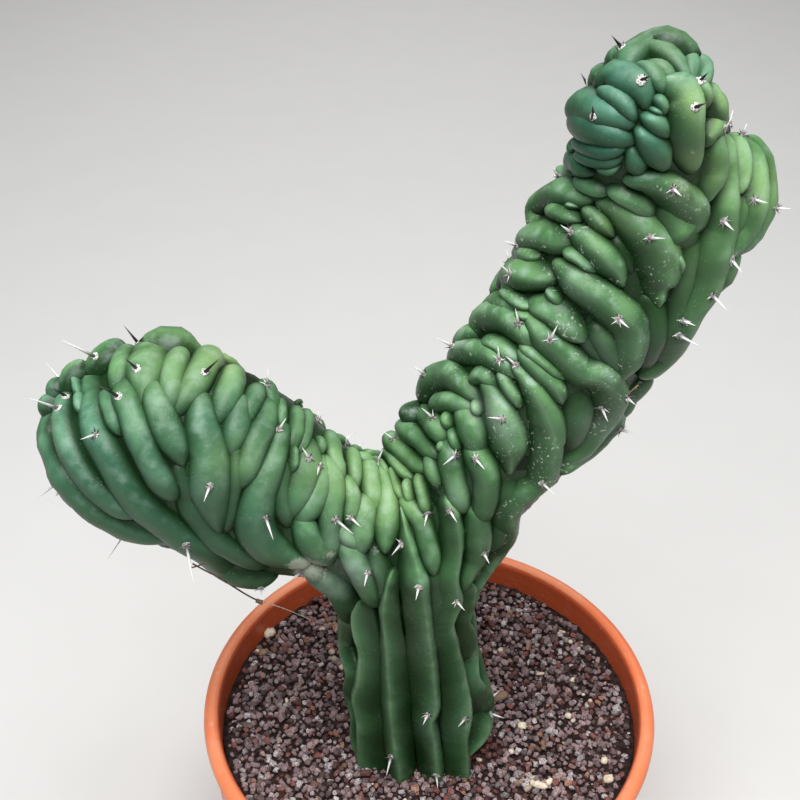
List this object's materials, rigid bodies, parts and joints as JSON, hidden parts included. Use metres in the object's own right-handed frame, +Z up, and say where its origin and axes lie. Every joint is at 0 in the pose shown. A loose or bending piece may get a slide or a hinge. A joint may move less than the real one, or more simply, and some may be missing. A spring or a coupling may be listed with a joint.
{
  "type": "potted crested cactus",
  "caption": "Crested blue candle cactus with a short ribbed stem and crowded fan-like arms of lobes, spined, growing in a round terracotta-coloured plastic pot topped with lava gravel.",
  "frame": {"origin": "middle of the pot's base, on the surface that it stands on", "axes": "+Z up, +X to the right and -Y towards the viewer of the picture"},
  "size_m": [0.3492, 0.2598, 0.5918],
  "materials": {
    "cactus_skin": "waxy, matt to satin, with a pale bloom",
    "terracotta_plastic": "satin, lightly scuffed",
    "potting_mix": "rough and loose",
    "lava_gravel": "rough and matt"
  },
  "bodies": {
    "root": {"cactus": "cactus_skin", "pot": "terracotta_plastic", "potting_mix": "potting_mix", "lava_gravel": "lava_gravel"}
  },
  "joints": []
}
